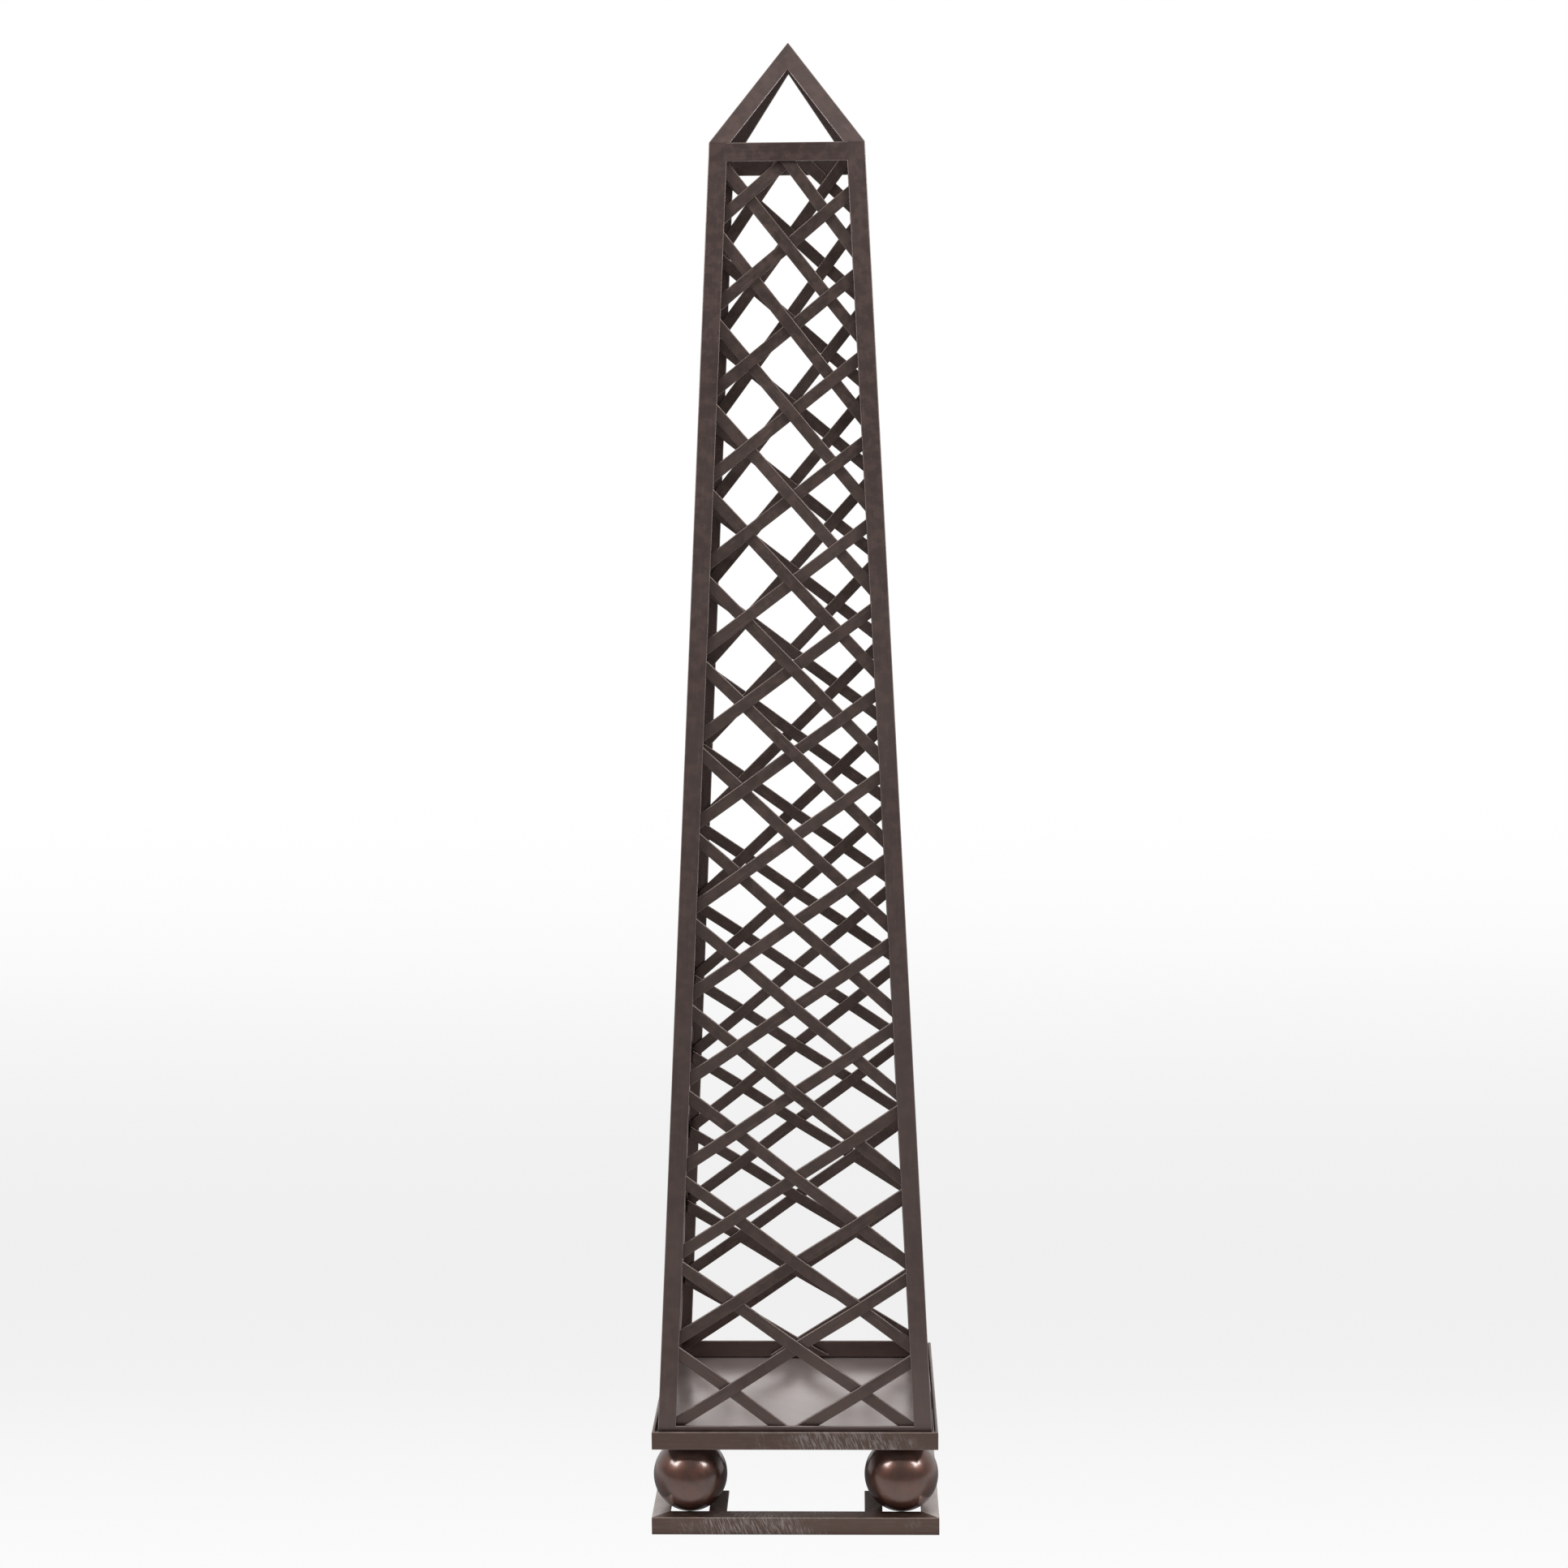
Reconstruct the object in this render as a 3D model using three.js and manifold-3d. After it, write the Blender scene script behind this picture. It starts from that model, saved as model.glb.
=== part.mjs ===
// Garden obelisk: a tapered tower of woven flat strips with a pyramid tip. It stands in a shallow square
// tray, which four steel balls hold above a square plinth. Millimetres, +Z up, front face towards -Y,
// origin at the centre of the underside.
import * as THREE from "three";
import { ConvexGeometry } from "three/addons/geometries/ConvexGeometry.js";
import { mergeVertices } from "three/addons/utils/BufferGeometryUtils.js";
import Module from "manifold-3d";

// Bar stock
const barWidth = 19;
const barThickness = 3.2;
const stripWidth = 12.7;
const stripThickness = 3.2;
const fitGap = 0.3;
const joinTolerance = 0.01;

// Plinth and feet
const plinthWidth = 305;
const plinthHeight = 19;
const ballRadius = 39.5;
const seatWidth = 2 * ballRadius;
const ballSegments = 28;

// Tray
const trayWidth = 303;
const lipHeight = 19.3;

// Tower: half widths are to the outer edges of the corner legs
const footHalfWidth = 146;
const shoulderHalfWidth = 80;
const shoulderHeight = 1456;
const apexHeight = 1566.5;
const bottomBarLift = 1.2;

// Lattice: strips climb two units between points spaced one unit apart on the two legs. On every face the
// points on the left leg sit higher and those on the right leg lower, by a lean that grows with height, and
// the last falling strips start lower than that, to tuck in under the shoulder bar.
const units = 15;
const meetingInset = 5.7;
const leanAtBottom = 4;
const leanAtTop = 22;
const topTuck = 16;
const tuckedUnits = 2;
const lowestUnit = -1;
const weaveOffset = 1.4;
const latticeEndCover = 5;

// Each face is set out by hand: the height of its first and last meeting points, how far the middle ones are
// raised, and how much lower its lowest falling strip starts, tucked in behind the bottom bar
const faces = [
  { name: "front", first: 105, last: 1437, bow: 10, bottomTuck: 16 },
  { name: "right", first: 107, last: 1448, bow: 4, bottomTuck: 0 },
  { name: "back", first: 112, last: 1463, bow: -6, bottomTuck: 0 },
  { name: "left", first: 107, last: 1448, bow: 4, bottomTuck: 0 },
];
const corners = ["front_left", "front_right", "back_right", "back_left"];

// Levels that follow from the sizes above
const seatOpening = seatWidth - 2 * barWidth;
const seatCentre = -plinthWidth / 2 + seatWidth / 2;
const ballCentreHeight = plinthHeight + Math.sqrt(ballRadius ** 2 - (seatOpening / 2) ** 2) + fitGap;
const trayBottom = ballCentreHeight + ballRadius + fitGap;
const trayFloor = trayBottom + barThickness;
const towerBottom = trayFloor + fitGap;
const legTaper = (footHalfWidth - shoulderHalfWidth) / (shoulderHeight - towerBottom);
const hipTaper = shoulderHalfWidth / (apexHeight - shoulderHeight);

const wasm = await Module();
wasm.setup();

const finishes = {
  bar: { color: 0x5d524c, roughness: 0.5, metalness: 0.6 },
  strip: { color: 0x62564f, roughness: 0.5, metalness: 0.6 },
  ball: { color: 0x6a4f46, roughness: 0.25, metalness: 0.8 },
  floor: { color: 0x5a504b, roughness: 0.3, metalness: 0.7 },
};

function piece(name, geometry, finish) {
  const mesh = new THREE.Mesh(geometry, new THREE.MeshStandardMaterial(finishes[finish]));
  mesh.name = name;
  return mesh;
}

// Half width of the tower at height z, to the outer face of the legs
function towerHalfWidth(z) {
  return footHalfWidth - legTaper * (z - towerBottom);
}

function solidFrom(geometry) {
  const bare = geometry.clone();
  bare.deleteAttribute("normal");
  bare.deleteAttribute("uv");
  const merged = mergeVertices(bare, 1e-4);
  const vertProperties = merged.getAttribute("position").array;
  const triVerts = new Uint32Array(merged.index.array);
  return new wasm.Manifold(new wasm.Mesh({ numProp: 3, vertProperties, triVerts }));
}

function geometryFrom(solid) {
  const { vertProperties, triVerts } = solid.getMesh();
  const geometry = new THREE.BufferGeometry();
  geometry.setAttribute("position", new THREE.BufferAttribute(vertProperties, 3));
  geometry.setIndex(new THREE.BufferAttribute(triVerts, 1));
  return geometry;
}

function outline(points) {
  return new THREE.Shape(points.map(([x, y]) => new THREE.Vector2(x, y)));
}

function extrude(shape, depth) {
  return new THREE.ExtrudeGeometry(shape, { depth, bevelEnabled: false });
}

// Cross-section of an angle iron: a skirt standing on the outside and a flange across the top
function skirtAndFlange(height) {
  const under = height - barThickness;
  return outline([
    [0, 0],
    [barThickness, 0],
    [barThickness, under],
    [barWidth, under],
    [barWidth, height],
    [0, height],
  ]);
}

function rectangle(width, bottom, top) {
  return outline([
    [0, bottom],
    [width, bottom],
    [width, top],
    [0, top],
  ]);
}

// A bar along X whose section is given as (distance inwards from its outer face, height). A mitred end is
// cut at 45 degrees, so that it is longest at the outer face.
function barAlongX(section, start, end, startIsMitred, endIsMitred) {
  const geometry = extrude(section, 1);
  const position = geometry.getAttribute("position");
  for (let i = 0; i < position.count; i++) {
    const inwards = position.getX(i);
    const height = position.getY(i);
    const along = position.getZ(i);
    const from = start + fitGap / 2 + (startIsMitred ? inwards : 0);
    const to = end - fitGap / 2 - (endIsMitred ? inwards : 0);
    position.setXYZ(i, THREE.MathUtils.lerp(from, to, along), inwards, height);
  }
  geometry.computeVertexNormals();
  return geometry;
}

function plinthRail() {
  const half = plinthWidth / 2;
  return barAlongX(skirtAndFlange(plinthHeight), -half, half, true, true).translate(0, -half, 0);
}

// The two flat bars that close the square under a ball, at the front left corner, level with the top of
// the plinth. The first runs in from the left rail and the second runs back from the front rail.
function seatBars() {
  const railEdge = -plinthWidth / 2 + barWidth;
  const seatEdge = -plinthWidth / 2 + seatWidth;
  const section = rectangle(barWidth, plinthHeight - barThickness, plinthHeight);
  const across = barAlongX(section, -seatEdge, -railEdge, true, false);
  const backwards = barAlongX(section, railEdge, seatEdge, false, true);
  return {
    across: across.rotateZ(Math.PI).translate(0, seatEdge, 0),
    backwards: backwards.rotateZ(Math.PI / 2).translate(seatEdge, 0, 0),
  };
}

function ballFoot() {
  const steps = ballSegments / 2;
  const profile = [];
  for (let i = 0; i <= steps; i++) {
    const angle = (Math.PI * i) / steps;
    const radius = i % steps === 0 ? 0 : ballRadius * Math.sin(angle);
    profile.push(new THREE.Vector2(radius, -ballRadius * Math.cos(angle)));
  }
  return new THREE.LatheGeometry(profile, ballSegments).rotateX(Math.PI / 2);
}

function trayLip() {
  const half = trayWidth / 2;
  const section = rectangle(barThickness, 0, lipHeight);
  return barAlongX(section, -half, half, true, true).translate(0, -half, trayBottom);
}

function trayPlate() {
  const width = trayWidth - 2 * (barThickness + fitGap);
  return new THREE.BoxGeometry(width, width, barThickness).translate(0, 0, trayBottom + barThickness / 2);
}

// Plan of a corner angle with its outer corner at the origin and its flanges along +X and +Y
function cornerAngle(width, thickness) {
  return outline([
    [0, 0],
    [width, 0],
    [width, thickness],
    [thickness, thickness],
    [thickness, width],
    [0, width],
  ]);
}

// Leans a piece by the given taper, in X and Y, above the height where it starts
function leanInwards(geometry, halfWidth, taper, bottom) {
  const lean = new THREE.Matrix4().makeShear(0, 0, 0, 0, taper, taper);
  return geometry.applyMatrix4(lean).translate(-halfWidth, -halfWidth, bottom);
}

function leg() {
  const height = shoulderHeight - towerBottom - fitGap / 2;
  const upright = extrude(cornerAngle(barWidth, barThickness), height);
  return leanInwards(upright, footHalfWidth, legTaper, towerBottom);
}

// The hip's plan is its level cross-section, so it is wider and thicker than the bar cut square
function hip() {
  const faceSlope = Math.atan(hipTaper);
  const edgeSlope = Math.atan(1 / (hipTaper * Math.cos(faceSlope)));
  const plan = cornerAngle(barWidth / Math.sin(edgeSlope), barThickness / Math.cos(faceSlope));
  const height = apexHeight - shoulderHeight;
  const whole = leanInwards(extrude(plan, height), shoulderHalfWidth, hipTaper, shoulderHeight + fitGap / 2);
  const size = 2 * shoulderHalfWidth;
  const quarter = new THREE.BoxGeometry(size, size, 4 * height);
  quarter.translate(-size / 2 - fitGap / 2, -size / 2 - fitGap / 2, shoulderHeight);
  return geometryFrom(solidFrom(whole).intersect(solidFrom(quarter)));
}

// Turns a geometry given as (x, depth behind the face, z) into one that lies in the leaning front face
function ontoFrontFace(geometry) {
  const lean = new THREE.Matrix4().makeShear(0, 0, 0, 0, 0, legTaper);
  const offset = -footHalfWidth - legTaper * towerBottom;
  return geometry.applyMatrix4(lean).translate(0, offset, 0);
}

// A flat bar between the legs of one face, flush with their outer faces
function crossBar(bottom, top) {
  const lowerEnd = towerHalfWidth(bottom) - barWidth - fitGap;
  const upperEnd = towerHalfWidth(top) - barWidth - fitGap;
  const shape = outline([
    [-lowerEnd, bottom],
    [lowerEnd, bottom],
    [upperEnd, top],
    [-upperEnd, top],
  ]);
  const upright = extrude(shape, barThickness).rotateX(Math.PI / 2).translate(0, barThickness, 0);
  return ontoFrontFace(upright);
}

// The point where the strips meet at one leg, on the left (side -1) or the right (side 1) of a face
function meetingPoint(face, unit, side) {
  const part = unit / units;
  const raise = face.bow * 4 * part * (1 - part);
  const middle = THREE.MathUtils.lerp(face.first, face.last, part) + raise;
  const lean = THREE.MathUtils.lerp(leanAtBottom, leanAtTop, part);
  const z = middle - side * lean;
  return new THREE.Vector2(side * (towerHalfWidth(z) - meetingInset), z);
}

// The middle line of the strip that leaves one leg at a unit and reaches the other two units up
function stripLine(face, unit, rising) {
  const low = meetingPoint(face, unit, rising ? -1 : 1);
  const high = meetingPoint(face, unit + 2, rising ? 1 : -1);
  if (!rising && unit >= units - tuckedUnits) high.y -= topTuck;
  if (!rising && unit === lowestUnit) low.y -= face.bottomTuck;
  return { low, high, along: high.clone().sub(low).normalize(), length: low.distanceTo(high) };
}

// Distance along one strip to its crossing with another
function distanceToCrossing(strip, other) {
  const between = other.low.clone().sub(strip.low);
  return between.cross(other.along) / strip.along.cross(other.along);
}

// One bent strip, as (x, depth, z). Rising strips pass outside at the quarter crossings and behind at the
// middle one, and falling strips do the opposite. Both run past the legs, to be cut off there.
function wovenStrip(face, unit, rising) {
  const line = stripLine(face, unit, rising);
  const centre = barThickness + fitGap + weaveOffset + stripThickness / 2;
  const swing = rising ? weaveOffset : -weaveOffset;
  const crossings = [-1, 0, 1].map((step) =>
    distanceToCrossing(line, stripLine(face, unit + step, !rising)),
  );
  const stations = [
    [-barWidth, centre + swing],
    [crossings[0], centre - swing],
    [crossings[1], centre + swing],
    [crossings[2], centre - swing],
    [line.length + barWidth, centre + swing],
  ];
  const half = stripThickness / 2;
  const nearSide = stations.map(([along, depth]) => [along, depth - half]);
  const farSide = stations.map(([along, depth]) => [along, depth + half]).reverse();
  const band = extrude(outline([...nearSide, ...farSide]), stripWidth).translate(0, 0, -stripWidth / 2);
  const alongAxis = new THREE.Vector3(line.along.x, 0, line.along.y);
  const depthAxis = new THREE.Vector3(0, 1, 0);
  const widthAxis = alongAxis.clone().cross(depthAxis);
  const place = new THREE.Matrix4().makeBasis(alongAxis, depthAxis, widthAxis);
  return band.applyMatrix4(place.setPosition(line.low.x, 0, line.low.y));
}

// The space behind the legs' flanges and the bars that one face's strips are cut to. Its sides are mitred,
// so that the lattices of two faces clear each other inside the leg.
function latticeSpace(bottom, top) {
  const near = barThickness + fitGap / 2;
  const far = barThickness + fitGap + 2 * (weaveOffset + stripThickness);
  const points = [];
  for (const z of [bottom, top])
    for (const depth of [near, far])
      for (const side of [-1, 1])
        points.push(new THREE.Vector3(side * (towerHalfWidth(z) - depth - fitGap), depth, z));
  return solidFrom(new ConvexGeometry(points));
}

function lattice(face) {
  const strips = [];
  for (let unit = lowestUnit; unit < units; unit++)
    for (const rising of [true, false]) strips.push(solidFrom(wovenStrip(face, unit, rising)));
  const space = latticeSpace(towerBottom + latticeEndCover, shoulderHeight - latticeEndCover);
  const woven = strips.reduce((joined, strip) => joined.add(strip)).intersect(space);
  return ontoFrontFace(geometryFrom(woven.asOriginal().simplify(joinTolerance)));
}

function sidePieces(face) {
  const barBottom = towerBottom + bottomBarLift;
  const barTop = shoulderHeight - fitGap / 2;
  return [
    piece(`plinth_rail_${face.name}`, plinthRail(), "bar"),
    piece(`tray_lip_${face.name}`, trayLip(), "bar"),
    piece(`bottom_bar_${face.name}`, crossBar(barBottom, barBottom + barWidth), "bar"),
    piece(`shoulder_bar_${face.name}`, crossBar(barTop - barWidth, barTop), "bar"),
    piece(`lattice_${face.name}`, lattice(face), "strip"),
  ];
}

function cornerPieces(corner) {
  const seat = seatBars();
  const ball = piece(`ball_${corner}`, ballFoot(), "ball");
  ball.position.set(seatCentre, seatCentre, ballCentreHeight);
  return [
    piece(`seat_bar_across_${corner}`, seat.across, "bar"),
    piece(`seat_bar_backwards_${corner}`, seat.backwards, "bar"),
    ball,
    piece(`leg_${corner}`, leg(), "bar"),
    piece(`hip_${corner}`, hip(), "bar"),
  ];
}

// Each quarter turn about Z carries the front side and the front left corner to the next ones
const obelisk = new THREE.Group();
for (let turn = 0; turn < faces.length; turn++) {
  const quarter = new THREE.Group();
  quarter.rotation.z = (turn * Math.PI) / 2;
  quarter.add(...sidePieces(faces[turn]), ...cornerPieces(corners[turn]));
  obelisk.add(quarter);
}
obelisk.add(piece("tray_plate", trayPlate(), "floor"));

export default obelisk;
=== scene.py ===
import math
import random

import bmesh
import bpy
from mathutils import Matrix, Vector, noise


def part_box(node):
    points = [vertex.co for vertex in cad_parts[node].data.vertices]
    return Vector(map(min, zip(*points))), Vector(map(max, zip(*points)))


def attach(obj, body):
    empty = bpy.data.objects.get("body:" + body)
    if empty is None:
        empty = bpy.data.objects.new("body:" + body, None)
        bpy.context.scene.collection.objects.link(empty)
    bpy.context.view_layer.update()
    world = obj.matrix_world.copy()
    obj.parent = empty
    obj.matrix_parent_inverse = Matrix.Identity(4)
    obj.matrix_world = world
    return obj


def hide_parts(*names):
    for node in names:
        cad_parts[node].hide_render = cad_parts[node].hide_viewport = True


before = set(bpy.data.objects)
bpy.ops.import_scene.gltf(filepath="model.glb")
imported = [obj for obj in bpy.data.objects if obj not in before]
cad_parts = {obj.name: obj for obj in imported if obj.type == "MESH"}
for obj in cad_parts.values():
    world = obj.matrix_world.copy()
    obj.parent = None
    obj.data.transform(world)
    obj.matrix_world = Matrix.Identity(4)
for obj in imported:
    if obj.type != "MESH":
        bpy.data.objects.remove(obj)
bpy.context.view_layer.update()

# Garden obelisk in patinated steel. Every piece is built in metres in the CAD frame: +Z up, the front
# face towards -Y, the origin at the centre of the underside. Shapes are made for the front side and the
# front left corner and turned in quarters about Z.
random.seed(7)
SIDES = ["front", "right", "back", "left"]
CORNERS = ["front_left", "front_right", "back_right", "back_left"]
MM = 0.001


def quarter_turn(k):
    return Matrix.Rotation(k * math.pi / 2, 4, "Z")


# ---------------------------------------------------------------- sizes read from the frame
PLINTH_LOW, PLINTH_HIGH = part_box("plinth_rail_front")
LIP_LOW, LIP_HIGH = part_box("tray_lip_front")
PLATE_LOW, PLATE_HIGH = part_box("tray_plate")
LEG_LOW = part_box("leg_front_left")[0]
HIP_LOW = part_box("hip_front_left")[0]
BALL_LOW, BALL_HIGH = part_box("ball_front_left")
LOW_BAR_LOW, LOW_BAR_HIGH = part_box("bottom_bar_front")
TOP_BAR_LOW, TOP_BAR_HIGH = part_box("shoulder_bar_front")

# Stock sizes, the same as the CAD's. The boxes in the frame don't give them.
BAR_WIDTH = 19 * MM
BAR_THICKNESS = 3.2 * MM
STRIP_WIDTH = 12.7 * MM
STRIP_THICKNESS = 3.2 * MM
GAP = 0.3 * MM
# Rounding radii of the rolled angle: the ends of its flanges, and the inner corner
ANGLE_TOE = 1.2 * MM
LEG_TOE = 1.1 * MM
FILLET = 2.4 * MM

PLINTH_HALF = -PLINTH_LOW.y
LIP_HALF = -LIP_LOW.y
TOWER_BOTTOM = LEG_LOW.z
FOOT_HALF = -LEG_LOW.x
SHOULDER_HALF = -HIP_LOW.x
SHOULDER = HIP_LOW.z - GAP / 2
APEX_HEIGHT = 1566.5 * MM
LEG_TAPER = (FOOT_HALF - SHOULDER_HALF) / (SHOULDER - TOWER_BOTTOM)
HIP_TAPER = SHOULDER_HALF / (APEX_HEIGHT - SHOULDER)
BALL_RADIUS = (BALL_HIGH.z - BALL_LOW.z) / 2
BALL_CENTRE = (BALL_LOW + BALL_HIGH) / 2
SEAT_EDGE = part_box("seat_bar_across_front_left")[1].y


def tower_half(z):
    """Half width of the tower at height z, to the outer face of the legs."""
    return FOOT_HALF - LEG_TAPER * (z - TOWER_BOTTOM)


# ---------------------------------------------------------------- mesh helpers
def rounded_outline(corners, segments=3):
    """Closed outline with its corners rounded, as (u, v, edge mark). corners are (u, v, radius),
    anticlockwise.
    The edge mark, for edge wear and a painted highlight, is 1 in the middle of an outer corner and 0 on the
    flats and in inner corners."""
    points = []
    count = len(corners)
    for i, (u, v, radius) in enumerate(corners):
        here = Vector((u, v))
        before = (Vector(corners[i - 1][:2]) - here).normalized()
        after = (Vector(corners[(i + 1) % count][:2]) - here).normalized()
        outer = before.cross(after) < 0
        half_angle = before.angle(after) / 2
        reach = radius / math.tan(half_angle)
        centre = here + (before + after).normalized() * (radius / math.sin(half_angle))
        start = here + before * reach - centre
        end = here + after * reach - centre
        sweep = start.angle_signed(end)
        for step in range(segments + 1):
            turn = -sweep * step / segments
            spoke = Vector(
                (
                    start.x * math.cos(turn) - start.y * math.sin(turn),
                    start.x * math.sin(turn) + start.y * math.cos(turn),
                )
            )
            middle = 1 - abs(2 * step / segments - 1)
            points.append((centre.x + spoke.x, centre.y + spoke.y, middle if outer else 0.0))
    return points


def angle_section(width, thickness, height, toe, fillet, corner):
    """Angle iron with its outer corner at the origin: one flange along u, the other along v."""
    return [
        (0, 0, corner),
        (width, 0, toe * 0.5),
        (width, thickness, toe),
        (thickness, thickness, fillet),
        (thickness, height, toe),
        (0, height, toe * 0.5),
    ]


class Builder:
    """Collects lofted bars and other forms into one mesh. Edge wear and painted highlight, heat, rub and
    grain are kept per vertex, and a piece has one tone."""

    def __init__(self, tone=None):
        self.points = []
        self.faces = []
        self.edge_wear_and_highlight = []
        self.heat = []
        self.grain = []
        self.rub = []
        self.tone = random.uniform(0, 1) if tone is None else tone

    def loft(self, section, place, stations, length, heat=None, rub=None):
        """Sweeps a section (u, v, edge mark) through the stations and closes both ends. place(u, v, t) gives
        the point at t."""
        ring = len(section)
        first = len(self.points)
        shift = random.uniform(0, 5)
        for t in stations:
            for u, v, edge_wear_and_highlight in section:
                self.points.append(place(u, v, t))
                self.edge_wear_and_highlight.append(edge_wear_and_highlight)
                self.heat.append(heat(t) if heat else 0.0)
                self.rub.append(rub(t) if rub else 0.0)
                self.grain.append((t * length + shift, u, v))
        for j in range(len(stations) - 1):
            for i in range(ring):
                a = first + j * ring + i
                b = first + j * ring + (i + 1) % ring
                self.faces.append((a, b, b + ring, a + ring))
        last = first + (len(stations) - 1) * ring
        self.faces.append(tuple(range(first + ring - 1, first - 1, -1)))
        self.faces.append(tuple(range(last, last + ring)))

    def mesh(self, name):
        mesh = bpy.data.meshes.new(name)
        mesh.from_pydata(self.points, [], self.faces)
        count = len(self.points)
        tone = [self.tone] * count
        rub = self.rub or [0.0] * count
        for label, values in (("edge_wear_and_highlight", self.edge_wear_and_highlight), ("heat", self.heat), ("tone", tone), ("rub", rub)):
            layer = mesh.attributes.new(label, "FLOAT", "POINT")
            layer.data.foreach_set("value", values)
        layer = mesh.attributes.new("grain", "FLOAT_VECTOR", "POINT")
        layer.data.foreach_set("vector", [value for triple in self.grain for value in triple])
        mesh.update()
        return mesh


def mesh_cut(mesh, cuts):
    """Cuts a closed mesh by planes (point, normal), keeping the side the normal points away from."""
    work = bmesh.new()
    work.from_mesh(mesh)
    for point, normal in cuts:
        whole = list(work.verts) + list(work.edges) + list(work.faces)
        result = bmesh.ops.bisect_plane(
            work, geom=whole, dist=1e-7, plane_co=point, plane_no=normal, clear_outer=True
        )
        rim = [e for e in result["geom_cut"] if isinstance(e, bmesh.types.BMEdge) and e.is_boundary]
        if rim:
            bmesh.ops.edgeloop_fill(work, edges=rim)
    bmesh.ops.recalc_face_normals(work, faces=work.faces)
    work.to_mesh(mesh)
    work.free()


SHARP_ANGLE = math.radians(50)
FLAT_FACE_WEIGHT = 80


def finish_piece(name, mesh, node, material, turn=0):
    mesh.transform(quarter_turn(turn))
    work = bmesh.new()
    work.from_mesh(mesh)
    bmesh.ops.recalc_face_normals(work, faces=work.faces)
    work.to_mesh(mesh)
    work.free()
    mesh.shade_smooth()
    mesh.set_sharp_from_angle(angle=SHARP_ANGLE)
    piece = bpy.data.objects.new(name, mesh)
    bpy.context.scene.collection.objects.link(piece)
    mesh.materials.append(material)
    weighted = piece.modifiers.new("weighted_normals", "WEIGHTED_NORMAL")
    weighted.keep_sharp = True
    weighted.weight = FLAT_FACE_WEIGHT
    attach(piece, "root")
    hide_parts(node)


def spread(count):
    """Evenly spaced stations from 0 to 1."""
    return [i / count for i in range(count + 1)]


def near_spot(centre, reach):
    """Rubbing that is strongest at one spot along a bar and gone a given part of its length away."""
    return lambda t: max(0.0, 1 - abs(t - centre) / reach)


def near_ends(reach, length):
    """Heat that is strong at both ends of a bar and gone a given reach away from them."""
    return lambda t: max(0.0, 1 - min(t, 1 - t) * length / reach)


# ---------------------------------------------------------------- materials
def node(tree, kind, inputs=None, **settings):
    made = tree.nodes.new(kind)
    for key, value in settings.items():
        setattr(made, key, value)
    for key, value in (inputs or {}).items():
        if isinstance(value, bpy.types.NodeSocket):
            tree.links.new(value, made.inputs[key])
        else:
            made.inputs[key].default_value = value
    return made


def noise_at(tree, vector, scale, detail=4.0, roughness=0.55, distortion=0.0):
    made = node(
        tree,
        "ShaderNodeTexNoise",
        {
            "Vector": vector,
            "Scale": scale,
            "Detail": detail,
            "Roughness": roughness,
            "Distortion": distortion,
        },
    )
    return made.outputs["Fac"]


def remap(tree, value, low, high, to_low=0.0, to_high=1.0):
    made = node(
        tree,
        "ShaderNodeMapRange",
        {"Value": value, "From Min": low, "From Max": high, "To Min": to_low, "To Max": to_high},
        interpolation_type="SMOOTHSTEP",
    )
    return made.outputs["Result"]


def remap_linear(tree, value, low, high):
    made = node(
        tree,
        "ShaderNodeMapRange",
        {"Value": value, "From Min": low, "From Max": high, "To Min": 0.0, "To Max": 1.0},
    )
    return made.outputs["Result"]


def times(tree, a, b):
    made = node(tree, "ShaderNodeMath", {0: a, 1: b}, operation="MULTIPLY")
    return made.outputs[0]


def plus(tree, a, b):
    made = node(tree, "ShaderNodeMath", {0: a, 1: b}, operation="ADD")
    return made.outputs[0]


def mix(tree, factor, a, b):
    """Mixes two colours. The Mix node's factor is input 0 and its colours are 6, 7 and output 2."""
    made = node(tree, "ShaderNodeMix", data_type="RGBA", blend_type="MIX")
    for key, value in ((0, factor), (6, a), (7, b)):
        if isinstance(value, bpy.types.NodeSocket):
            tree.links.new(value, made.inputs[key])
        elif key == 0:
            made.inputs[key].default_value = value
        else:
            made.inputs[key].default_value = (*value, 1.0)
    return made.outputs[2]


def attribute(tree, name, output):
    return node(tree, "ShaderNodeAttribute", attribute_name=name).outputs[output]


def stretched(tree, vector, scale):
    return node(tree, "ShaderNodeMapping", {"Vector": vector, "Scale": scale}).outputs["Vector"]


# How fine each pattern is, in noise cells per metre. Three numbers are along, across and through the bar.
MOTTLE_SCALE = 85.0
SPECK_SCALE = 620.0
HEAT_SCALE = 30.0
EDGE_WEAR_AND_HIGHLIGHT_SCALE = 60.0
SKIN_SCALE = 900.0
RIPPLE_SCALE = 70.0
BRUSHED_SCALE = (26.0, 520.0, 520.0)
STROKE_SCALE = (560.0, 70.0, 70.0)
STROKE_AREA_SCALE = (22.0, 30.0, 30.0)
STROKE_SLANT = 0.35
BUMP_DEPTH = 0.4 * MM


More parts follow.
